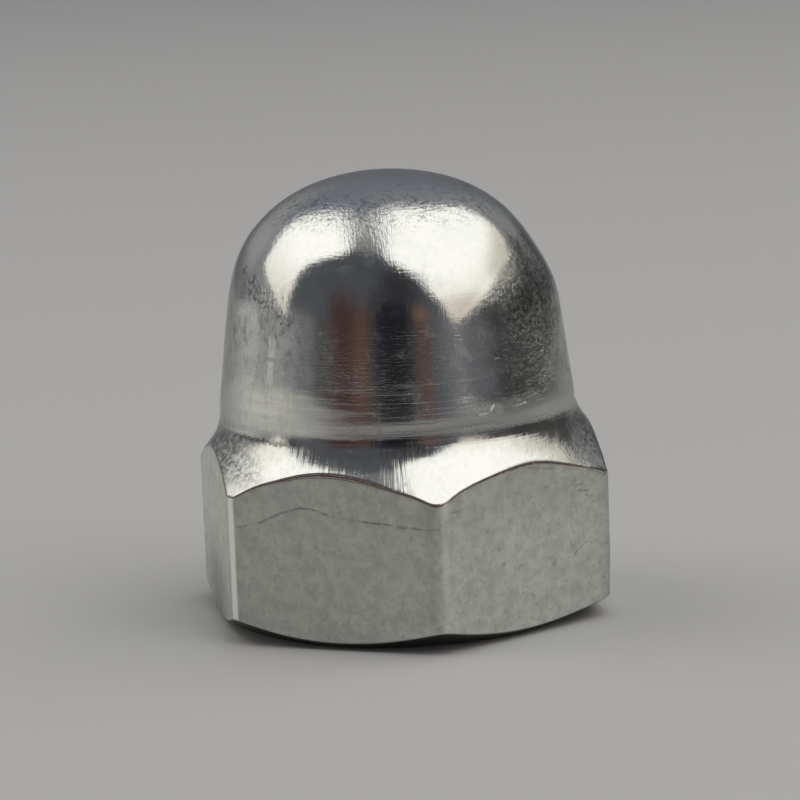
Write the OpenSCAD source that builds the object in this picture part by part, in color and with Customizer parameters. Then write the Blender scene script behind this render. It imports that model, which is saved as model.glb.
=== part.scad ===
// Domed cap nut (acorn nut), M8, closed at the top, one piece.
// Millimetres. The nut stands on its bearing face at z = 0, with its axis on Z
// and one upright corner of the hexagon towards -Y.

/* [Hexagon] */
// Width across the flats
across_flats = 12.8; // [11:0.1:19]
// How much the sharp upright corners are taken back towards the axis
corner_trim = 0.1; // [0.02:0.01:0.4]
// Height at which the upper bevel runs into the side of the dome
hex_height = 6; // [5:0.1:8]
// Slope of the upper bevel, in degrees from level
top_bevel_angle = 44; // [25:1:55]
// How far inside the middle of each flat the bearing ring underneath ends
bearing_inset = 0.5; // [0.1:0.05:1.2]
// Slope of the lower bevel, in degrees from level
base_bevel_angle = 28; // [15:1:35]

/* [Dome] */
// Overall height
total_height = 15; // [12.8:0.1:18.2]
// Ledge between the foot of the dome and the middle of each flat
neck_step = 0.2; // [0.1:0.05:0.8]
// Inward lean of the dome's side, in degrees
side_lean = 7; // [3:0.5:9]
// How much tighter than the foot of the dome its shoulder turns
shoulder_tighter = 1.3; // [0.6:0.1:2.5]
// How much flatter than the foot of the dome its crown turns
crown_flatter = 1.3; // [0.2:0.1:6]
// Radius of the hollow between the bevel and the dome
neck_fillet = 1.6; // [0.3:0.1:2]

/* [Threaded hole] */
// Nominal diameter of the thread
thread_d = 8; // [6:0.5:10]
// Thread pitch
thread_pitch = 1.25; // [0.75:0.05:1.5]
// Metal left between the drill point and the top of the dome
crown_wall = 2; // [1:0.1:6]
// Point angle of the drill
drill_point_angle = 118; // [90:1:140]
// Width of the lead-in at the mouth beyond the thread diameter
lead_in_oversize = 0.4; // [0.1:0.05:0.8]
// Full angle of the lead-in
lead_in_angle = 90; // [60:1:120]

/* [Hidden] */
sides = 6;
$fn = 96;
over = 1;
// Arcs that meet a line or another arc are drawn this much large, so that they
// cross it cleanly where they would otherwise only touch it
bite = 0.001;

// Hexagon
flat_r = across_flats / 2;
sharp_r = flat_r / cos(180 / sides);
corner_r = sharp_r - corner_trim;
bearing_r = flat_r - bearing_inset;
base_bevel_h = (corner_r - bearing_r) * tan(base_bevel_angle);

// Foot of the dome, where its side would meet the bevel in a sharp corner
neck_r = flat_r - neck_step;
neck_point = [neck_r, hex_height];
corner_top_h = hex_height - (corner_r - neck_r) * tan(top_bevel_angle);

// Unit vectors: up the side of the dome, out of it, and down the bevel
side_up = [-sin(side_lean), cos(side_lean)];
side_out = [cos(side_lean), sin(side_lean)];
bevel_down = [cos(top_bevel_angle), -sin(top_bevel_angle)];

// Hollow between bevel and dome: a circle that touches both lines
neck_angle = 90 + top_bevel_angle + side_lean;
neck_reach = neck_fillet / tan(neck_angle / 2);
neck_bisector = (side_up + bevel_down) / norm(side_up + bevel_down);
fillet_centre = neck_point + neck_bisector * neck_fillet / sin(neck_angle / 2);
fillet_low = neck_point + bevel_down * neck_reach;
fillet_high = neck_point + side_up * neck_reach;

// Dome: the side line, the shoulder arc and the crown arc meet with no crease.
// With nothing tighter and nothing flatter, it would be half a ball on a cylinder.
// The shoulder's centre lies on a line parallel to the side, one shoulder
// radius inside it, and the two radii apart from the crown's centre.
shoulder_radius = neck_r - shoulder_tighter;
crown_radius = neck_r + crown_flatter;
crown_centre = [0, total_height - crown_radius];
shoulder_start = neck_point - side_out * shoulder_radius;
to_start = shoulder_start - crown_centre;
along = to_start * side_up;
radii_gap = crown_radius - shoulder_radius;
slide = -along + sqrt(along * along - to_start * to_start + radii_gap * radii_gap);
shoulder_centre = shoulder_start + side_up * slide;
side_end = shoulder_centre + side_out * shoulder_radius;
crown_dir = (shoulder_centre - crown_centre) / radii_gap;
crown_start = crown_dir + [-crown_dir.y, crown_dir.x] * sqrt(bite / crown_radius);

// Hole: the minor diameter of the thread leaves 5/8 of the full V
minor_r = (thread_d - 5 / 4 * thread_pitch * cos(30)) / 2;
lead_in_r = (thread_d + lead_in_oversize) / 2;
lead_in_h = (lead_in_r - minor_r) / tan(lead_in_angle / 2);
point_h = minor_r / tan(drill_point_angle / 2);
hole_depth = total_height - crown_wall - point_h;

// Half of the turned outline: lower bevel, upper bevel, hollow neck and dome
module turned_outline() {
    difference() {
        union() {
            polygon([
                [0, 0], [bearing_r, 0], [corner_r, base_bevel_h],
                [corner_r, corner_top_h], fillet_low, fillet_centre,
                fillet_high, side_end, [0, side_end.y]
            ]);
            intersection() {
                translate(shoulder_centre) circle(shoulder_radius + bite);
                square([flat_r, total_height]);
            }
            intersection() {
                translate(crown_centre) circle(crown_radius);
                polygon([
                    crown_centre, crown_centre + 2 * crown_radius * crown_start,
                    crown_centre + [0, 2 * crown_radius]
                ]);
            }
        }
        translate(fillet_centre) circle(neck_fillet + bite);
    }
}

// Half of the blind hole: lead-in, straight wall and drill point
module hole_outline() {
    polygon([
        [0, -over], [lead_in_r, -over], [lead_in_r, 0], [minor_r, lead_in_h],
        [minor_r, hole_depth], [0, hole_depth + point_h]
    ]);
}

// Six-sided bar, one corner towards -Y
module hexagon_bar() {
    translate([0, 0, -over])
        linear_extrude(total_height + 2 * over)
            rotate(90) circle(sharp_r, $fn = sides);
}

module cap_nut() {
    color([0.62, 0.64, 0.61])
        intersection() {
            hexagon_bar();
            rotate_extrude() difference() {
                turned_outline();
                hole_outline();
            }
        }
}

cap_nut();
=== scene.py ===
import bpy
import numpy as np
from mathutils import Matrix, Vector


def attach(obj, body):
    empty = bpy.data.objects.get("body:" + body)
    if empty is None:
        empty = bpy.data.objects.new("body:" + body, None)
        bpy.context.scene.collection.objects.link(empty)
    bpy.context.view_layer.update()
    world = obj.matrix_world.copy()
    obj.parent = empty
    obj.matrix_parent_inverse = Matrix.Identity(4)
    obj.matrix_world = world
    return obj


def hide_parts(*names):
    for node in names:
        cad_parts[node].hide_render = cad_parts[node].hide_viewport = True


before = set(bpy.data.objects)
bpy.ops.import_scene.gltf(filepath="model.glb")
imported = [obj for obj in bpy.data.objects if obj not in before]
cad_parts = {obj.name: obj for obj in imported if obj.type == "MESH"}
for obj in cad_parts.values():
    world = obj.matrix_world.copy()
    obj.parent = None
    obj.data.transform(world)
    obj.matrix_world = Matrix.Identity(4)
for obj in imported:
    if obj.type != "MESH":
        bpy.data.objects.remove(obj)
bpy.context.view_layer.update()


# ---------------------------------------------------------------------------
# The nut's outside: one steel blank, cold forged from hexagon bar. Its crown is
# coined, its neck and cone are turned, so that each flat ends in an arc, and its
# base is bevelled back to a round bearing ring. Sizes are in millimetres.

flat_reach = 6.3999                   # axis to each flat, half the key size
corner_reach = 7.2895                 # axis to the rolled corners
side_foot = np.array([6.0, 7.44])     # where the leaning side meets the upright wall below it
side_lean = np.radians(7)             # the side leans in by this much
wall_bend = 2.0                       # radius of the easing between the two
neck_hollow, neck_top = 1.7, 7.255    # the hollow neck's radius, and the height it starts from
cone_angle = np.radians(50)           # fall of the cone over the hexagon
crown_radius, shoulder_radius = 7.5, 4.9
crown_top = 15.0
ring_reach, base_angle = 5.9, np.radians(28)
edge = 0.075                          # how far the edges of the flats are worn round
corner_rounding = np.array([0.66, 0.55, 0.66, 0.16, 0.70, 0.40])   # at 30, 90 ... 330 degrees
sixth = np.radians(60)                # from one flat to the next


def hexagon_reach(turn):
    """Axis to hexagon in each direction: the flat's distance over the cosine of the angle off its
    middle; near a corner, a circle of that corner's rounding tangent to both flats; and nowhere
    more than the rolled corner circle."""
    which = np.floor(turn / sixth).astype(int) % 6
    off = np.abs(turn - which * sixth - sixth / 2)
    rounding = corner_rounding[which]
    centre = (flat_reach - rounding) / np.cos(sixth / 2)
    flat = flat_reach / np.cos(sixth / 2 - off)
    ball = centre * np.cos(off) + np.sqrt(np.clip(rounding**2 - (centre * np.sin(off))**2, 0, None))
    meets = sixth / 2 - np.arctan(centre * 0.5 / flat_reach)
    return np.minimum(np.where(off < meets, ball, flat), corner_reach)


def arc(centre, radius, start, stop, count):
    """Points on a circle in the (reach, height) plane, from one angle to another, both included."""
    a = np.linspace(start, stop, count)
    return centre[0] + radius * np.cos(a), centre[1] + radius * np.sin(a)


def cone_height(reach):
    """Height of the neck's hollow, and past its end of the cone, at a distance from the axis."""
    out = reach - side_foot[0]
    ends = neck_hollow * (1 - np.sin(cone_angle))
    hollow = neck_top - np.sqrt(np.clip(neck_hollow**2 - (neck_hollow - out)**2, 0, None))
    straight = neck_top - neck_hollow * np.cos(cone_angle) - (out - ends) * np.tan(cone_angle)
    return np.where(out < ends, hollow, straight)


def ease(t):
    """From 0 to 1, level at both ends: three times the square less twice the cube."""
    return np.clip(t, 0, 1)**2 * (3 - 2 * np.clip(t, 0, 1))


def near(middle, wide):
    """A soft bump round one direction: a bell of the angle from its middle, both in degrees."""
    return np.exp(-(((np.degrees(turn) - middle + 180) % 360 - 180) / wide)**2)


def bumps(*each):
    """The sum of several soft bumps, each a height in millimetres, its middle and its width."""
    return sum(high * near(middle, wide) for high, middle, wide in each)


# The side's line goes up and in from its foot; the shoulder's centre stands one shoulder radius
# inside it and (crown - shoulder) from the crown's centre, so that all three run on without a break.
up_side = np.array([-np.sin(side_lean), np.cos(side_lean)])
in_side = np.array([-np.cos(side_lean), -np.sin(side_lean)])
crown_centre = np.array([0.0, crown_top - crown_radius])
gap = side_foot + shoulder_radius * in_side - crown_centre
along = up_side @ gap
side_length = -along + np.sqrt(along**2 - gap @ gap + (crown_radius - shoulder_radius)**2)
shoulder_centre = side_foot + shoulder_radius * in_side + side_length * up_side
crown_ends = np.arctan2(*(shoulder_centre - crown_centre)[::-1])
bend_run = wall_bend * np.tan(side_lean / 2)
shared_reach = 6.27                   # inside this ring every direction has the same outline

# Directions round the axis: they crowd at the six corners and on the two front flats.
fine = np.linspace(0, 2 * np.pi, 7201)
crowd = 1.0 + 0.9 * (np.abs(fine - 1.5 * np.pi) < sixth)
for corner in np.radians(np.arange(30, 360, 60)):
    crowd += 7.0 * np.exp(-((fine - corner) / np.radians(2.9))**4)
filled = np.concatenate([[0], np.cumsum((crowd[1:] + crowd[:-1]) / 2)])
turns = 440
turn = np.interp(np.arange(turns) / turns, filled / filled[-1], fine)
reach = hexagon_reach(turn)

# Rows from the crown down. First the rings that every direction shares ...
crown_r, crown_z = arc(crown_centre, crown_radius, np.radians(89.2), crown_ends, 12)
shoulder_r, shoulder_z = arc(shoulder_centre, shoulder_radius, crown_ends, side_lean, 44)
side_r, side_z = side_foot[:, None] + up_side[:, None] * np.linspace(side_length, bend_run, 13)
bend_r, bend_z = arc((side_foot[0] - wall_bend, side_foot[1] - bend_run), wall_bend, side_lean, 0.0, 5)
wall_z = np.linspace(bend_z[-1], neck_top, 3)
wall_r = side_foot[0] + 0 * wall_z
neck_r = side_foot[0] + (shared_reach - side_foot[0]) * np.linspace(0, 1, 12)**2
top_r = np.concatenate([crown_r, shoulder_r[1:], side_r[1:], bend_r[1:], wall_r[1:], neck_r[1:]])
top_z = np.concatenate([crown_z, shoulder_z[1:], side_z[1:], bend_z[1:], wall_z[1:], cone_height(neck_r[1:])])
rows_r = [np.repeat(top_r[:, None], turns, 1)]
rows_z = [np.repeat(top_z[:, None], turns, 1)]


def steps(count):
    """Even shares of the way from one row to another, the first left out."""
    return np.linspace(0, 1, count + 1)[1:, None]


# ... then the cone out to each direction's own edge, the worn edge, the flat, and the base.
cone_stop = reach - edge * np.cos(cone_angle)
rows_r.append(shared_reach + (cone_stop - shared_reach) * steps(14))
rows_z.append(cone_height(rows_r[-1]))
rim = cone_height(reach)
part = steps(6)
rows_r.append((1 - part)**2 * cone_stop + (1 - (1 - part)**2) * reach)
rows_z.append((1 - part)**2 * cone_height(cone_stop) + 2 * part * (1 - part) * rim + part**2 * (rim - edge))
base_fall = np.tan(base_angle) * (1 + 0.14 * near(210, 15) - 0.13 * near(330, 15))
foot = (reach - ring_reach) * base_fall
part = steps(44)
rows_r.append(np.repeat(reach[None], len(part), 0))
rows_z.append((rim - edge) + (foot + edge - rim + edge) * part)
part = steps(4)
base_start = reach - edge * np.cos(base_angle)
rows_r.append((1 - part**2) * reach + part**2 * base_start)
rows_z.append((1 - part)**2 * (foot + edge) + 2 * part * (1 - part) * foot
              + part**2 * (base_start - ring_reach) * base_fall)
base_stop = ring_reach + 0.06
rows_r.append(base_start + (base_stop - base_start) * steps(6))
rows_z.append((rows_r[-1] - ring_reach) * base_fall)
ring = np.array([[ring_reach, 0.006], [ring_reach - 0.06, 0], [5.6, 0], [5.1, 0]])
rows_r.append(np.repeat(ring[:, :1], turns, 1))
rows_z.append(np.repeat(ring[:, 1:], turns, 1))
out_r, out_z = np.concatenate(rows_r), np.concatenate(rows_z)
# The first row of the worn edge, of the flat, of the foot's edge and of the bearing ring:
_, first_worn, first_flat, first_foot, _, first_ring = np.cumsum([len(r) for r in rows_r])[:6]

# The forging isn't quite true: the cone stands a little proud over the right-hand flat, the right
# corner is full, the left one low, the arcs over the flats lie at different heights, and the crown's
# wall is drawn in a little at its right.
lift = bumps((0.15, 350, 22), (0.04, 222, 12), (-0.14, 162, 28), (-0.05, 210, 7))
out_z = out_z + ease((7.2 - out_z) / 0.5) * ease((out_z - 4.4) / 1.0) * lift
front_dip = bumps((0.54, 302, 22), (0.13, 328, 10), (0.05, 292, 9), (0.05, 297, 9), (-0.05, 273, 5),
                  (0.41, 243, 19), (0.06, 240, 26), (0.06, 224, 7), (0.05, 259, 6))
back_dip = 0.70 * near(90, 48) * (0.5 + 0.5 * np.cos(6 * turn))
dish = ease((6.75 - out_z) / 1.0) * ease((out_z - 2.4) / 2.4) * (front_dip + back_dip)
out_z = out_z - dish
out_r = out_r + 0.10 * near(330, 7) * ease((out_z - 0.9) / 1.5) * ease((5.9 - out_z) / 0.9)
out_r = np.minimum(out_r, flat_reach / np.cos(turn - sixth * np.round(turn / sixth)))
out_r = out_r - 0.10 * near(340, 42) * np.exp(-((out_z - 12.2) / 1.3)**2)

# Distance run from the crown, down each direction, for grain that follows the surface.
down = np.cumsum(np.hypot(np.diff(out_r, axis=0), np.diff(out_z, axis=0)), 0)
run = np.concatenate([np.zeros((1, turns)), down])
across = np.broadcast_to(turn, out_r.shape)

# Hand-scale unevenness: the flats have a shallow sag and a few knocks, and the crown's side is very
# slightly rippled from the die. Everything only goes inwards.
flat_middle = sixth * np.round(across / sixth)
sideways = out_r * np.sin(across - flat_middle)
on_flat = np.zeros(len(out_r))
on_flat[first_flat:first_foot - 1] = 1
dent = np.zeros_like(out_r)
knocks = np.array([  # middle of the flat in degrees, sideways mm, height mm, broad mm, tall mm, deep mm
    [300, -1.95, 1.02, 0.26, 0.20, 0.020],
    [300, 2.35, 2.95, 0.16, 0.55, 0.012], [300, -2.62, 4.45, 0.35, 0.10, 0.012],
    [300, -2.20, 2.35, 0.22, 0.14, 0.014], [240, 1.35, 1.10, 0.15, 0.30, 0.014],
    [240, 2.35, 2.55, 0.22, 0.22, 0.012], [240, -2.00, 1.70, 0.25, 0.20, 0.010],
    [180, 0.80, 3.60, 0.40, 0.20, 0.022], [120, -1.60, 4.10, 0.50, 0.12, 0.026],
    [60, 1.40, 2.20, 0.30, 0.35, 0.024], [0, -1.10, 3.10, 0.45, 0.16, 0.022],
    [0, 2.10, 4.20, 0.22, 0.22, 0.018]])


def on_the_flat(middle):
    """True on the points that belong to the flat facing this way, in degrees."""
    return np.abs(flat_middle % (2 * np.pi) - np.radians(middle)) < 0.01


for middle, aside, high, broad, tall, deep in knocks:
    bell = np.exp(-((sideways - aside) / broad)**2 - ((out_z - high) / tall)**2)
    dent += on_the_flat(middle) * deep * bell
sag = 0.012 * (1 - (sideways / 3.7)**2) * np.sin(np.clip((out_z - 0.8) / 4.4, 0, 1) * np.pi)
out_r = out_r - on_flat[:, None] * (dent + np.clip(sag, 0, None))
ripple = (np.sin(3 * across + 0.9 * out_z + 0.6) + 0.7 * np.sin(5 * across - 1.3 * out_z + 2.1)
          + 0.5 * np.sin(9 * across + 1.9 * out_z + 4.0)) / 2.2
on_crown = np.clip((out_z - 6.6) / 1.5, 0, 1) * np.clip((crown_top - out_z) / 0.7, 0, 1)
out_r = out_r - 0.010 * (1 + ripple) * on_crown

# The forging lap is a wandering line over the left front flat: how far each point is from it.
lap_aside = np.array([-3.7, -3.2, -2.6, -2.0, -1.2, -0.6, 0.0, 0.7, 1.6, 2.6, 3.7])
lap_height = np.array([4.02, 4.08, 4.22, 4.50, 4.76, 4.70, 4.48, 4.42, 4.34, 4.24, 4.20])
no_lap = 9.0                          # further from the lap than anything it marks
lap = np.where(on_the_flat(240), out_z - np.interp(sideways, lap_aside, lap_height), no_lap)
out_r = out_r - on_flat[:, None] * 0.008 * np.exp(-(lap / 0.09)**2)


# ---------------------------------------------------------------------------
# The threaded hole: blind, drilled with a 118 degree point, tapped M8 x 1.25
# right-handed and opened with a 90 degree cone. The tap stops short of the
# drilled depth, so the last turns run out to the plain hole.

minor, depth, pitch = 3.3234, 0.6766, 1.25
mouth, hole_end, tip = 4.2, 11.003, 13.0
thread_end, run_out = 10.1, 1.3
bore_turns = 128
bore_turn = np.arange(bore_turns) / bore_turns * 2 * np.pi


def thread_reach(height, angle):
    """Axis to thread: the minor radius on the crest, a flank at 30 degrees each side, and the root.
    The crest climbs one pitch a turn to the right; the mouth's cone cuts it off, and it fades at
    the end."""
    phase = height / pitch - angle / (2 * np.pi)
    from_crest = np.abs(phase - np.round(phase)) * pitch
    cut = np.clip((from_crest - pitch / 8) / np.tan(np.radians(30)), 0, depth)
    return np.maximum(minor + cut * ease((thread_end - height) / run_out), mouth - height)


def all_round(values):
    """A column of values, the same in every direction round the hole."""
    return np.asarray(values)[:, None] + np.zeros(bore_turns)


mouth_r = all_round([4.8, 4.5, mouth + 0.04, mouth, mouth - 0.04])
mouth_z = all_round([0.0, 0.0, 0.0, 0.012, 0.04])
bore_z = all_round(np.concatenate([np.arange(0.1, 10.2, pitch / 20), np.linspace(10.25, hole_end - 0.03, 5)]))
bore_r = thread_reach(bore_z, bore_turn)
point_r = all_round(np.linspace(minor, 0.12, 10))
point_z = tip - (tip - hole_end) * point_r / minor
in_r = np.concatenate([mouth_r, bore_r, point_r])
in_z = np.concatenate([mouth_z, bore_z, point_z])
in_turn = np.broadcast_to(bore_turn, in_r.shape)


# ---------------------------------------------------------------------------
# Both skins made one closed body: they are sewn together on the flat bearing
# ring, the crown and the drill point each close on a single point, and the
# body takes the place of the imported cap_nut.

def grid_faces(rows, columns, start=0, closed=True):
    """Quads of a grid: each joins row i to row i + 1 and column j to the next. A closed grid's last
    column joins its first."""
    i, j = np.meshgrid(np.arange(rows - 1), np.arange(columns if closed else columns - 1), indexing="ij")
    k = (j + 1) % columns
    corners = [i * columns + j, (i + 1) * columns + j, (i + 1) * columns + k, i * columns + k]
    return start + np.stack(corners, -1).reshape(-1, 4)


def sewing(outer, inner, outer_start, inner_start):
    """Triangles between two rings with different spacing: every step of either ring takes the
    point of the other that lies at its own angle."""
    n, m = len(outer), len(inner)
    middle = (outer + np.append(outer[1:], outer[0] + 2 * np.pi)) / 2
    below = np.searchsorted(inner, middle) - 1
    i = np.arange(n)
    one = np.stack([outer_start + i, inner_start + below % m, outer_start + (i + 1) % n], 1)
    k = np.arange(m)
    after = np.searchsorted(middle, np.append(inner[1:], 2 * np.pi))
    two = np.stack([inner_start + k, inner_start + (k + 1) % m, outer_start + after % n], 1)
    return np.concatenate([one, two])


def fan(columns, start, point, upward):
    """Triangles from a ring to one point, turned to face outwards."""
    j = np.arange(columns)
    k = (j + 1) % columns
    pair = [start + j, start + k] if upward else [start + k, start + j]
    return np.stack([np.full(columns, point), *pair], 1)


outside = np.stack([out_r * np.cos(across), out_r * np.sin(across), out_z], -1).reshape(-1, 3)
crown_lean = np.array([-0.148, 0.025, 0.0])            # how far the crown stands off the axis
outside = outside + crown_lean * ease((outside[:, 2:] - 10.6) / 2.6)
inside = np.stack([in_r * np.cos(in_turn), in_r * np.sin(in_turn), in_z], -1).reshape(-1, 3)
points = np.concatenate([outside, inside, [[crown_lean[0], crown_lean[1], crown_top], [0, 0, tip]]])
n_out, n_in = len(outside), len(inside)
quads = np.concatenate([grid_faces(len(out_r), turns), grid_faces(len(in_r), bore_turns, n_out)])
triangles = np.concatenate([
    sewing(turn, bore_turn, n_out - turns, n_out),
    fan(turns, 0, n_out + n_in, True),
    fan(bore_turns, n_out + n_in - bore_turns, n_out + n_in + 1, False)])
body = bpy.data.meshes.new("nut")
body.from_pydata((points * 0.001).tolist(), [], quads.tolist() + triangles.tolist())
body.shade_smooth()


def mark(name, outer_rows, inner_value):
    """Stores a number, or three, for each point: the outside's grid, one value all over the hole,
    and on the crown's point what the first ring has."""
    inner_value = np.atleast_1d(inner_value)
    wide = len(inner_value)
    outer = np.asarray(outer_rows, float).reshape(n_out, wide)
    data = np.concatenate([outer, np.broadcast_to(inner_value, (n_in + 2, wide))]).copy()
    data[n_out + n_in] = outer[0]
    kind, field = ("FLOAT", "value") if wide == 1 else ("FLOAT_VECTOR", "vector")
    body.attributes.new(name, kind, "POINT").data.foreach_set(field, data.astype(np.float32).ravel())


row = np.arange(len(out_r))[:, None] + np.zeros(turns)
flat_share = ((row >= first_worn + 5) & (row <= first_foot)).astype(float)
mark("flat", flat_share, 0.0)
mark("cone", np.clip((out_r - 6.03) / 0.12, 0, 1) * (row < first_worn + 1), 0.0)
mark("under", (row > first_foot).astype(float), 1.0)
mark("worn_and_reflection", np.clip(1 - np.abs(row - (first_worn + 2.5)) / 3.0, 0, 1), 0.0)
# Painted shade: the foot's bevel under the nut is painted near black in the colour further on, standing in
# for the contact shadow there.
mark("foot", ((row > first_foot + 1) & (row < first_ring - 1)).astype(float), 0.0)
mark("lap", lap, no_lap)
mark("dish", dish * (row < first_worn + 2), 0.0)
# The corner at the front left is rubbed bright.
from_corner = np.abs((across % sixth) - sixth / 2) * corner_reach
rubbed_corner = np.clip((0.18 - from_corner) / 0.08, 0, 1) * (np.abs(across - np.radians(210)) < 0.1)
mark("rubbed", flat_share * rubbed_corner, 0.0)
# The flats are painted in different shades of grey, run together over the corners: painted light and
# shade for how bright each flat looks, over a little of the plate's own variation. The right front flat
# is painted lighter low down, the front corner gets a darker and a lighter line, and the far left flat is
# painted darker low down, a painted reflection of the shaded paper beside it.
flat_light_and_tone = np.array([1.02, 1.05, 0.98, 1.46, 1.10, 1.18])      # from the right-hand flat round
tone_share = np.clip(from_corner / 0.5, 0, 1)
light_and_tone = flat_light_and_tone[np.round(flat_middle / sixth).astype(int) % 6] * tone_share + (1 - tone_share) * 1.03
light_and_tone = (light_and_tone - 0.09 * near(267.4, 0.9) + 0.20 * near(271.2, 1.4)
        + 0.16 * (1 - ease((out_z - 3.2) / 1.6)) * near(303, 34)
        - 0.65 * near(180, 22) * ease((3.6 - out_z) / 2.6))
mark("light_and_tone", np.repeat(light_and_tone[..., None], 3, -1), [1.0, 1.0, 1.0])
# Coordinates in the surface: round it, and down it from the crown.
lay_reach = 6.0
mark("lay", np.stack([lay_reach * np.cos(across), lay_reach * np.sin(across), run], -1),
     [lay_reach, 0.0, 30.0])

nut = bpy.data.objects.new("zinc_cap_nut", body)
bpy.context.scene.collection.objects.link(nut)
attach(nut, "root")
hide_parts("cap_nut")


# ---------------------------------------------------------------------------
# The finish: bright zinc plate over the forged steel. The crown and cone are
# polished by the dies and by tumbling, the side and neck keep the draw marks
# that run round them, and the flats are satin, mottled and lightly pitted.

zinc = bpy.data.materials.new("bright_zinc")
zinc.use_nodes = True
tree = zinc.node_tree
tree.nodes.clear()


def add(kind, wired=None, **settings):
    """A new node: its properties, then its inputs, each either a value or another node's output."""
    made = tree.nodes.new("ShaderNode" + kind)
    for name, value in settings.items():
        setattr(made, name, value)
    for name, value in (wired or {}).items():
        if isinstance(value, bpy.types.NodeSocket):
            tree.links.new(value, made.inputs[name])
        else:
            made.inputs[name].default_value = value
    return made


def math(kind, a, b=0.5, c=0.5, clamp=False):
    """One sum of numbers or outputs."""
    return add("Math", {0: a, 1: b, 2: c}, operation=kind, use_clamp=clamp).outputs[0]


def times(first, *others):
    """Numbers or outputs multiplied together."""
    for other in others:
        first = math("MULTIPLY", first, other)
    return first


def plus(first, *others):
    """Numbers or outputs added together."""
    for other in others:
        first = math("ADD", first, other)
    return first


def off(value, middle):
    """How far a value is from a middle, either way."""
    return math("ABSOLUTE", math("SUBTRACT", value, middle))


def ramp(value, low, high, out_low=0.0, out_high=1.0):
    """A value carried smoothly from one range to another and held at its ends."""
    ends = {"From Min": low, "From Max": high, "To Min": out_low, "To Max": out_high}
    return add("MapRange", {"Value": value, **ends}, interpolation_type="SMOOTHSTEP").outputs[0]


def stretch(vector, scale, turned=(0, 0, 0)):
    """Coordinates drawn out along an axis, so that a pattern is long where the scale is small."""
    return add("Mapping", {"Vector": vector, "Scale": scale, "Rotation": turned}).outputs[0]


def grain(vector, scale, detail=3.0, rough=0.55):
    """Cloudy noise between 0 and 1."""
    noise = add("TexNoise", {"Vector": vector, "Scale": scale, "Detail": detail, "Roughness": rough})
    return noise.outputs[0]


def blend(share, a, b, kind="MIX"):
    """Two colours mixed by a share."""
    made = add("Mix", data_type="RGBA", blend_type=kind)
    for socket, value in zip([made.inputs[0], made.inputs[6], made.inputs[7]], [share, a, b]):
        if isinstance(value, bpy.types.NodeSocket):
            tree.links.new(value, socket)
        else:
            socket.default_value = value
    return made.outputs[2]


def stored(name, field="Fac"):
    """A value marked on the nut's points."""
    return add("Attribute", attribute_name=name).outputs[field]


def from_line(start, stop):
    """Distance of each point from the straight line between two points, in millimetres: the share
    of the way along it is the dot product with the line over its length squared, held to its ends."""
    way = Vector(stop) - Vector(start)
    from_start = add("VectorMath", {0: place, 1: start}, operation="SUBTRACT").outputs[0]
    dot = add("VectorMath", {0: from_start, 1: way}, operation="DOT_PRODUCT").outputs["Value"]
    share = math("DIVIDE", dot, way.length_squared, clamp=True)
    nearest = add("VectorMath", {0: tuple(way), "Scale": share}, operation="SCALE").outputs[0]
    return add("VectorMath", {0: from_start, 1: nearest}, operation="DISTANCE").outputs["Value"]


def from_lines(*lines):
    """Distance of each point from the nearest of several lines."""
    nearest = from_line(*lines[0])
    for line in lines[1:]:
        nearest = math("MINIMUM", nearest, from_line(*line))
    return nearest


flat, cone, under, worn_and_reflection = stored("flat"), stored("cone"), stored("under"), stored("worn_and_reflection")
painted_shade_under, rubbed, from_lap = stored("foot"), stored("rubbed"), stored("lap")
lay = stored("lay", "Vector")
in_metres = add("TexCoord").outputs["Object"]
place = add("VectorMath", {0: in_metres, "Scale": 1000.0}, operation="SCALE").outputs[0]
east, north, height = add("SeparateXYZ", {0: place}).outputs
above = math("SUBTRACT", 1.0, math("MAXIMUM", flat, under))             # the turned part, crown to cone

# The grains: marks that run round and down, clouds, mottle and specks, and fine scratches three ways.
draw = grain(stretch(place, (0.22, 0.22, 5.0)), 1.0, 5.0, 0.6)
draw_fine = grain(stretch(place, (0.5, 0.5, 22.0)), 1.0, 3.0, 0.6)
swell = grain(stretch(place, (0.16, 0.16, 2.4), (0.02, 0.03, 0)), 1.0, 2.0, 0.5)
comb = grain(stretch(lay, (5.5, 5.5, 0.35)), 1.0, 3.0, 0.6)
slant = plus(grain(stretch(place, (14.0, 2.0, 1.2), (0.3, 0.5, 0.2)), 1.0, 3.0, 0.6),
             grain(stretch(place, (1.5, 3.0, 16.0), (0.5, -0.6, 0.4)), 1.0, 3.0, 0.6),
             grain(stretch(place, (10.0, 3.0, 10.0), (-0.3, 0.8, 0.0)), 1.0, 3.0, 0.6))
speck = grain(place, 6.0, 4.0, 0.7)
rough_edge = math("SUBTRACT", speck, 0.5)
cloud = grain(place, 0.55, 3.0)
wander = grain(place, 0.8, 2.0, 0.4)
mottle = grain(place, 2.3, 6.0, 0.68)
fleck = grain(place, 5.0, 3.0, 0.6)
blotch = grain(stretch(place, (3.4, 3.4, 1.9)), 1.0, 6.0, 0.78)

# A dull drawn band runs round above the neck, weaker at the front, and climbs and pales at the left.
# Its paler colour at the left is painted sheen, over the real roughness there; its darker colour at the front
# is a painted dark reflection.
wavy = plus(height, times(grain(stretch(place, (0.5, 0.5, 1.5)), 1.0, 2.0), -0.5))
to_left = times(ramp(east, -2.2, -4.2), ramp(east, -5.95, -5.3, 0.35, 1.0))
drawn = times(ramp(math("SUBTRACT", wavy, times(to_left, 0.55)), 8.05, 7.25), ramp(height, 6.9, 7.2), above,
              ramp(off(east, -0.6), 1.2, 2.8, 0.35, 1.0))
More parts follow.
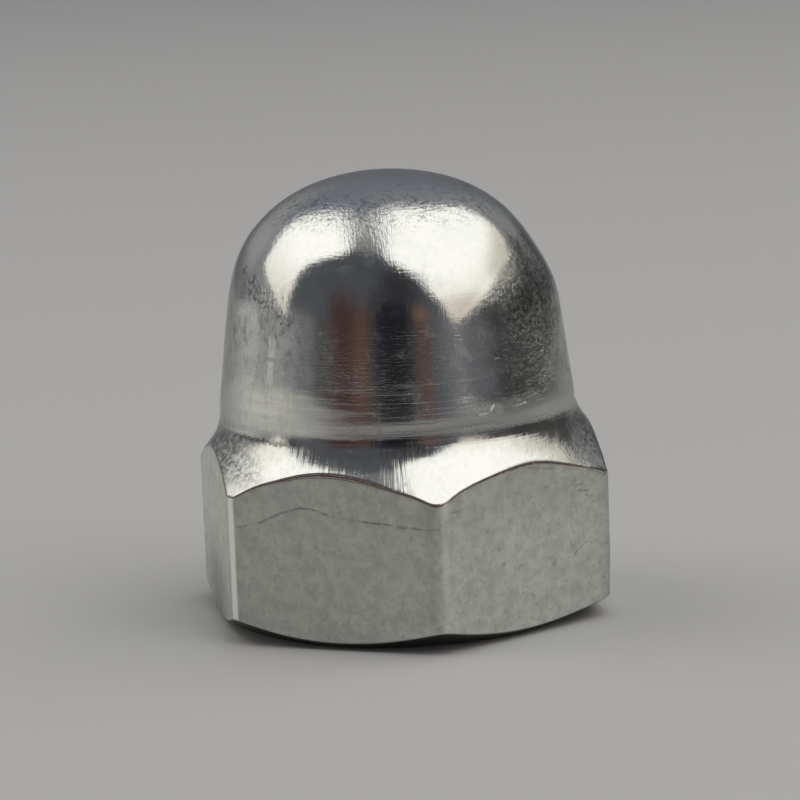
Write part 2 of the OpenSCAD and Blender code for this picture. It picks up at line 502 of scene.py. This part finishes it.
# Painted sheen: the band's left part is painted paler, standing in for the light it picks up; it is also
# really rougher there.
rough_and_sheen = times(drawn, ramp(draw, 0.30, 0.60, 0.6, 1.0), to_left)
band = times(ramp(height, 8.6, 7.9), ramp(height, 6.7, 7.0), above)
streak = times(ramp(draw, 0.54, 0.68), ramp(height, 9.6, 7.9, 0.0, 0.8), ramp(height, 6.4, 6.8), above)
# Painted dark reflection: the band's front is painted darker, standing in for the shaded paper it mirrors.
painted_dark_reflection = times(ramp(height, 7.75, 7.45), ramp(height, 6.7, 6.95), ramp(east, -3.6, -2.0),
               ramp(east, 4.6, 3.0), above)

# Bruises, where the polish is broken up into grains: low on the crown's right, below a slanting line
# over which the coined polish is whole; at both ends of the cone; and slanting at the crown's left.
low_right = ramp(math("MULTIPLY_ADD", east, -0.8, height), 9.95, 9.60)
to_bruise = add("VectorMath", {0: place, 1: (4.6, -3.6, 10.9)}, operation="DISTANCE").outputs["Value"]
right_bruise = times(ramp(plus(to_bruise, times(grain(place, 0.9, 2.0), 2.6)), 4.2, 2.6), low_right)
ends_bruise = times(ramp(math("ABSOLUTE", east), 4.9, 6.0), ramp(north, 2.6, 0.4),
                    ramp(off(height, 6.1), 1.0, 0.3))
left_bruise = ramp(plus(from_line((-5.39, -1.09, 12.1), (-4.35, -3.68, 10.8)),
                        times(grain(stretch(place, (3.0, 3.0, 1.4)), 1.0, 3.0, 0.6), 1.5)), 1.15, 0.85)
bruised = times(math("MAXIMUM", math("MAXIMUM", right_bruise, ends_bruise), left_bruise), above)
smoky = times(ramp(grain(place, 0.95, 5.0, 0.62), 0.44, 0.58), ramp(east, 1.6, 2.8), ramp(height, 7.5, 8.1),
              low_right, above)

# Marks of handling: an upright scuff at the left in two strokes, stains over and under it, burrs and
# hair scratches by the neck, and specks on top of the crown; and painted shade, a dark line in the crease
# where the neck meets the cone.
left_scuff = times(ramp(from_line((-4.83, -3.32, 8.75), (-4.72, -3.30, 10.0)), 0.30, 0.12),
                   ramp(grain(stretch(lay, (9.0, 9.0, 0.7)), 1.0, 3.0, 0.6), 0.38, 0.62, 0.15, 1.0),
                   ramp(off(height, 9.42), 0.03, 0.10))
stained = times(ramp(east, -3.2, -4.3), ramp(height, 7.9, 9.2, 0.35, 1.0), ramp(height, 11.3, 10.3), above)
burr = from_lines(((2.12, -5.60, 7.66), (2.25, -5.52, 7.82)), ((3.06, -5.15, 7.63), (3.45, -4.88, 7.72)))
burr = times(ramp(plus(burr, times(grain(place, 6.0, 2.0), 0.16)), 0.125, 0.10), above)
hair = from_lines(((1.73, -5.73, 7.56), (3.21, -5.05, 7.67)), ((2.39, -5.26, 9.30), (4.37, -3.81, 9.20)))
hair = times(ramp(plus(hair, times(grain(place, 2.0, 3.0), 0.10)), 0.085, 0.06), above)
cap_speck = times(ramp(grain(stretch(place, (4.2, 4.2, 5.5)), 1.0, 6.0, 0.82), 0.50, 0.62),
                  ramp(height, 13.3, 13.9), ramp(height, 14.75, 14.25, 0.25, 1.0))
# Painted shade: a dark line painted into the crease where the neck meets the cone.
over_crevice = plus(math("SUBTRACT", height, 6.72), times(rough_edge, 0.5))
crease_shade = times(ramp(math("ABSOLUTE", over_crevice), 0.11, 0.0), ramp(east, -3.8, -4.6),
                ramp(east, -6.1, -5.6), above)

# On the flats: pits, the forging lap as a broken line, and the nicks and the graze that a spanner or
# another nut has left, most of them high on the right front flat.
cell = add("TexVoronoi", {"Vector": place, "Scale": 1.7, "Randomness": 1.0}, feature="F1")
seed = add("SeparateColor", {0: cell.outputs["Color"]})
pit = times(ramp(cell.outputs["Distance"], math("MULTIPLY_ADD", seed.outputs[1], 0.13, 0.05), 0.02),
            math("GREATER_THAN", seed.outputs[0], 0.6), flat)
lap_line = times(ramp(math("ABSOLUTE", plus(from_lap, times(rough_edge, 0.22))), 0.062, 0.0), flat,
                 ramp(plus(times(grain(place, 1.5, 2.0), 0.6), times(speck, 0.4)), 0.42, 0.54, 0.08, 1.0))
nick = from_lines(((5.14, -4.42, 4.69), (5.41, -4.27, 4.70)), ((5.53, -4.20, 4.29), (5.79, -4.05, 4.20)),
                  ((5.25, -4.36, 4.49), (5.60, -4.16, 4.45)), ((5.02, -4.49, 2.39), (5.48, -4.23, 2.70)),
                  ((0.39, -7.16, 4.70), (0.76, -6.95, 4.66)), ((3.43, -5.41, 5.60), (4.27, -4.92, 5.42)),
                  ((4.15, -4.98, 2.20), (4.30, -4.90, 2.34)), ((0.95, -6.80, 0.78), (1.10, -6.72, 0.90)))
nick = times(ramp(plus(nick, times(rough_edge, 0.18)), 0.06, 0.01), flat)

# Colour: zinc is a cool grey with a green cast on the flats. Each line lays one colour over the last.
satin = blend(ramp(mottle, 0.35, 0.65), (0.493, 0.519, 0.480, 1), (0.618, 0.633, 0.598, 1))
# The flats' painted light and shade, stored on the points, multiplies their colour here.
satin = blend(1.0, satin, stored("light_and_tone", "Color"), "MULTIPLY")
polish = blend(ramp(plus(times(cloud, 0.5), times(fleck, 0.5)), 0.38, 0.62),
               (0.595, 0.60, 0.595, 1), (0.635, 0.635, 0.62, 1))
colour = blend(flat, polish, satin)
for share, tint in [
        # painted sheen on the band's left part
        (rough_and_sheen, (0.93, 0.94, 0.89)),
        (times(bruised, ramp(speck, 0.42, 0.58)), (0.21, 0.212, 0.205)),
        # painted dark reflection on the band's front
        (times(painted_dark_reflection, ramp(draw, 0.3, 0.6, 0.85, 0.35)), (0.30, 0.30, 0.295)),
        (times(cap_speck, 0.72), (0.15, 0.155, 0.165)),
        (times(hair, 0.5), (0.90, 0.90, 0.86)),
        (burr, (0.95, 0.95, 0.92)),
        (times(stained, ramp(blotch, 0.46, 0.62), ramp(height, 9.2, 10.3, 0.5, 0.85)), (0.27, 0.285, 0.255)),
        (times(smoky, 0.45), (0.25, 0.25, 0.24)),
        # painted shade in the crease where the neck meets the cone
        (times(crease_shade, 0.7), (0.05, 0.048, 0.035)),
        (times(left_scuff, 0.6), (0.97, 0.97, 0.93)),
        (times(ramp(fleck, 0.54, 0.68), flat, 0.25), (0.30, 0.31, 0.28)),
        (times(pit, 0.55), (0.22, 0.22, 0.19)),
        (times(nick, 0.36), (0.22, 0.225, 0.20)),
        (times(lap_line, 0.66), (0.20, 0.20, 0.18)),
        # The worn edges are really rounded; their reddish brown colour is a painted reflection of a dark,
        # warm surrounding.
        (times(worn_and_reflection, ramp(speck, 0.38, 0.62, 0.35, 0.95)), (0.30, 0.17, 0.13)),
        # painted shade under the nut, on the foot's bevel
        (times(painted_shade_under, 0.88), (0.085, 0.085, 0.075)),
        (rubbed, (0.99, 1.0, 0.96))]:
    colour = blend(share, colour, (*tint, 1))

# Gloss, from the crown's polish to the satin flats.
haze = times(ramp(grain(stretch(place, (1.6, 1.6, 1.1)), 1.0, 5.0, 0.7), 0.50, 0.68), above)
scratched = math("MAXIMUM", left_scuff, math("MAXIMUM", burr, hair))
rough = plus(0.105, times(drawn, 0.19), times(math("MAXIMUM", haze, rough_and_sheen), 0.12), times(streak, 0.20),
             times(flat, 0.36), times(rubbed, -0.12), times(under, 0.30), times(rough_edge, 0.08),
             times(bruised, 0.12), times(scratched, 0.25), times(cone, 0.05))

# Relief, in millimetres: draw marks, combed marks on the cone, grains, pits, nicks and the lap.
right_side = times(ramp(east, 0.6, 2.4, 0.003, 0.019), ramp(height, 12.8, 11.6), low_right, above)
combed = times(ramp(east, -5.0, -3.8), ramp(east, -0.1, -1.2, 0.22, 1.0), cone)
on_top = times(ramp(height, 12.6, 13.8, 0.0024, 0.0085), ramp(east, 0.5, 2.0, 1.0, 0.55))
scratch_deep = times(math("SUBTRACT", on_top, times(cone, 0.0017)), above)
relief = plus(times(draw, 0.012, plus(times(drawn, 0.8), times(streak, 0.16))),
              times(grain(place, 1.5, 5.0, 0.7), right_side),
              times(draw_fine, 0.006, drawn),
              times(swell, 0.012, band),
              times(comb, 0.015, combed),
              times(plus(times(wander, 0.004), times(fleck, 0.0006)), above),
              times(slant, scratch_deep, -1.0),
              times(speck, plus(times(bruised, 0.008), ramp(height, 12.9, 13.9, 0.0, 0.0035))),
              times(plus(times(mottle, 0.011), times(fleck, 0.002)), flat),
              times(pit, -0.010),
              times(blotch, 0.007, stained),
              times(math("MAXIMUM", lap_line, nick), -0.010),
              times(speck, worn_and_reflection, 0.010),
              times(stored("dish"), 0.62))
bump = add("Bump", {"Height": relief, "Distance": 0.001, "Strength": 1.0})
metal = add("BsdfPrincipled", {"Base Color": colour, "Metallic": 1.0, "Specular Tint": (0.72, 0.72, 0.72, 1),
                               "Roughness": math("MAXIMUM", rough, 0.06), "Normal": bump.outputs[0]})
add("OutputMaterial", {"Surface": metal.outputs[0]})
body.materials.append(zinc)


# ---------------------------------------------------------------------------
# The ground: a wide sheet of plain pale grey paper, flat and matt all over,
# which the nut stands on. It is painted a little darker towards the back: painted
# shade for the light falling off.

paper_half, paper_steps = 3.0, 13                      # metres each way, and points along a side
paper_x, paper_y = np.meshgrid(*[np.linspace(-paper_half, paper_half, paper_steps)] * 2, indexing="ij")
paper_points = np.stack([paper_x, paper_y, 0 * paper_x], -1).reshape(-1, 3)
paper_mesh = bpy.data.meshes.new("paper")
paper_mesh.from_pydata(paper_points.tolist(), [], grid_faces(paper_steps, paper_steps, closed=False).tolist())
paper = bpy.data.objects.new("paper", paper_mesh)
bpy.context.scene.collection.objects.link(paper)

paper_look = bpy.data.materials.new("grey_paper")
paper_look.use_nodes = True
tree = paper_look.node_tree                            # add() and blend() now work on the paper
tree.nodes.clear()
# Painted shade: the paper's colour darkens towards the back, for the light falling off with distance.
how_far_back = add("SeparateXYZ", {0: add("TexCoord").outputs["Object"]}).outputs["Y"]
darker = add("MapRange", {"Value": how_far_back, "From Min": 0.0, "From Max": 0.30}).outputs[0]
matt = add("BsdfPrincipled", {"Base Color": blend(darker, (0.505, 0.50, 0.511, 1), (0.431, 0.426, 0.438, 1)),
                              "Roughness": 0.75, "Specular IOR Level": 0.3})
add("OutputMaterial", {"Surface": matt.outputs[0]})
paper_mesh.materials.append(paper_look)


# ---------------------------------------------------------------------------
# The light: two soft boxes bent round the nut, a tall one at the left and a
# broad one at the right that reaches overhead, and dark flags behind the
# camera. None is seen by the camera; the world gives the plain fill.

def bent_sheet(name, rows, away, foot_tint, top_tint, patches=()):
    """An even light, or a dark flag, hung round the nut: at each elevation it runs from one azimuth
    to another, in degrees (0 the front, 90 the right), and its colour goes from foot to top. A patch
    is a soft-edged block of another colour: azimuth, elevation, half width, half height, colour."""
    elevation, left_edge, right_edge = np.array(rows, float).T
    count = 97
    u = np.linspace(0, 1, count)[None]
    v = u.T
    at = np.linspace(0, 1, len(rows))
    e = np.radians(np.interp(v, at, elevation))
    a = np.radians((1 - u) * np.interp(v, at, left_edge) + u * np.interp(v, at, right_edge))
    spot = away * np.stack([np.sin(a) * np.cos(e), -np.cos(a) * np.cos(e), np.sin(e) + 0 * a], -1)
    mesh = bpy.data.meshes.new(name)
    mesh.from_pydata(spot.reshape(-1, 3).tolist(), [], grid_faces(count, count, closed=False).tolist())
    share = np.clip((np.degrees(e) - 8) / 34, 0, 1)[..., None] + 0 * spot[..., :1]
    tint = (1 - share) * np.array(foot_tint) + share * np.array(top_tint)
    for middle, high, wide, tall, *paint in patches:
        cover = np.exp(-((np.degrees(a) - middle) / wide)**4 - ((np.degrees(e) - high) / tall)**4)[..., None]
        tint = tint + cover * (np.array(paint) - tint)
    tints = mesh.attributes.new("tint", "FLOAT_VECTOR", "POINT")
    tints.data.foreach_set("vector", tint.astype(np.float32).ravel())
    made = bpy.data.objects.new(name, mesh)
    bpy.context.scene.collection.objects.link(made)
    look = bpy.data.materials.new(name)
    look.use_nodes = True
    nodes, links = look.node_tree.nodes, look.node_tree.links
    nodes.clear()
    light = nodes.new("ShaderNodeEmission")
    painted = nodes.new("ShaderNodeAttribute")
    painted.attribute_name = "tint"
    links.new(painted.outputs["Vector"], light.inputs["Color"])
    links.new(light.outputs[0], nodes.new("ShaderNodeOutputMaterial").inputs["Surface"])
    mesh.materials.append(look)
    made.visible_camera = False
    return made


cream, white = (1.01, 0.95, 0.80), (1.54, 1.53, 1.45)
far, middle_way, close_by = 0.62, 0.5, 0.15            # metres from the nut
bent_sheet("left_softbox",
           [(5, -94, -90), (12, -100, -89), (22, -127, -87), (30, -131, -87), (38, -146, -86),
            (45, -149, -82), (60, -149, -60), (66, -145, -62), (70, -138, -72), (74, -105, -95)],
           middle_way, cream, white)
bent_sheet("right_softbox",
           [(7.5, 31, 33), (11, 30, 40), (16, 29, 49), (21, 28, 62), (25, 27, 79), (26.5, 25, 118),
            (45, 17, 132), (60, -8, 132), (67, -12, 132), (72, -12, 170), (82, -26, 186), (89, -90, 250)],
           middle_way, (0.94, 0.88, 0.74), white,
           [(48, 16, 18, 11, 0.86, 0.80, 0.67), (100, 27, 24, 8, 0.86, 0.81, 0.69)])

# The flag behind the camera is cool dark cloth, with a black middle and a warm brown cloth each side.
cloths = [(-45, 4, 11, 25, 0.078, 0.042, 0.039), (-31, 5, 4.6, 15, 0.150, 0.074, 0.050),
          (-10.5, 10, 16.5, 24, 0.018, 0.018, 0.022), (-1, 39, 17, 13, 0.040, 0.040, 0.046),
          (9.5, 6, 4.6, 14, 0.125, 0.070, 0.058), (9.5, 15, 4.2, 6, 0.24, 0.13, 0.105),
          (32, 2, 10, 12, 0.19, 0.195, 0.21), (-76, 0, 10, 10, 0.215, 0.22, 0.225),
          (-59, 0, 6, 10, 0.100, 0.088, 0.087)]
flag = bent_sheet("flag",
                  [(0, -72, 45), (3, -78, 45), (7, -82, 42), (10, -87, 42), (40, -90, 30), (60, -75, 5),
                   (65, -68, -12)], far, (0.115, 0.12, 0.13), (0.09, 0.096, 0.106), cloths)
# A low dark flag at the right, a pale card low at the left, and a grey flag at the back.
low_grey, card_white = (0.072, 0.071, 0.07), (0.60, 0.61, 0.57)
low_flag = bent_sheet("low_flag",
                      [(-4, 40, 118), (3, 36, 126), (6, 36, 126), (10, 41, 126), (16, 51, 126),
                       (21, 64, 126), (24.5, 80, 126), (26, 116, 126)], close_by, low_grey, low_grey,
                      [(36, 2, 24, 12, 0.155, 0.16, 0.172), (118, -4, 26, 7, 0.135, 0.137, 0.13)])
pale_card = bent_sheet("pale_card",
                       [(-7, -145, -79), (-1, -155, -79), (3, -140, -81), (6, -126, -85)],
                       close_by, card_white, card_white, [(-94, 0, 19, 14, 0.37, 0.375, 0.36)])
back_flag = bent_sheet("back_flag", [(-1, 132, 225), (50, 132, 225), (68, 120, 230), (75, 180, 200)], far,
                       (0.20, 0.21, 0.225), (0.245, 0.262, 0.298),
                       [(128, 30, 22, 24, 0.34, 0.345, 0.35), (205, 20, 22, 12, 0.43, 0.437, 0.43),
                        (158, 62, 18, 10, 0.30, 0.305, 0.31), (140, 6, 10, 6, 0.085, 0.085, 0.085)])
for shape in (flag, low_flag, pale_card, back_flag):
    shape.visible_diffuse = shape.visible_shadow = False

# The fill: a pale grey to the camera, a little darker in gloss, and darker again on matt surfaces.
world = bpy.data.worlds.new("fill")
bpy.context.scene.world = world
world.use_nodes = True
tree = world.node_tree
tree.nodes.clear()
ray = add("LightPath").outputs
seen = blend(ray["Is Camera Ray"], (0.30, 0.302, 0.305, 1), (0.345, 0.34, 0.345, 1))
fill_colour = blend(ray["Is Diffuse Ray"], seen, (0.20, 0.20, 0.205, 1))
fill = add("Background", {"Color": fill_colour, "Strength": 1.0})
add("OutputWorld", {"Surface": fill.outputs[0]})


# ---------------------------------------------------------------------------
# The camera: a long close-up lens a hand's breadth from the nut, a little
# above it and to its left, held very slightly out of level.

aim = Vector((0.0001, 0.0, 0.00714))
bear, rise, roll, away = np.radians(-9.71), np.radians(10.72), 0.03957, 0.1264
ahead = -Vector((np.sin(bear) * np.cos(rise), -np.cos(bear) * np.cos(rise), np.sin(rise)))
right = ahead.cross(Vector((0, 0, 1))).normalized()
tilted_right = (right - right.cross(ahead) * roll).normalized()
tilted_up = tilted_right.cross(ahead)
lens = bpy.data.cameras.new("close_up")
lens.lens, lens.sensor_width, lens.clip_start, lens.clip_end = 167.7, 36.0, 0.005, 20.0
camera = bpy.data.objects.new("close_up", lens)
camera.matrix_world = (Matrix.Translation(aim - ahead * away)
                       @ Matrix((tilted_right, tilted_up, -ahead)).transposed().to_4x4())
bpy.context.scene.collection.objects.link(camera)
bpy.context.scene.camera = camera
bpy.context.scene.view_settings.view_transform = "Standard"
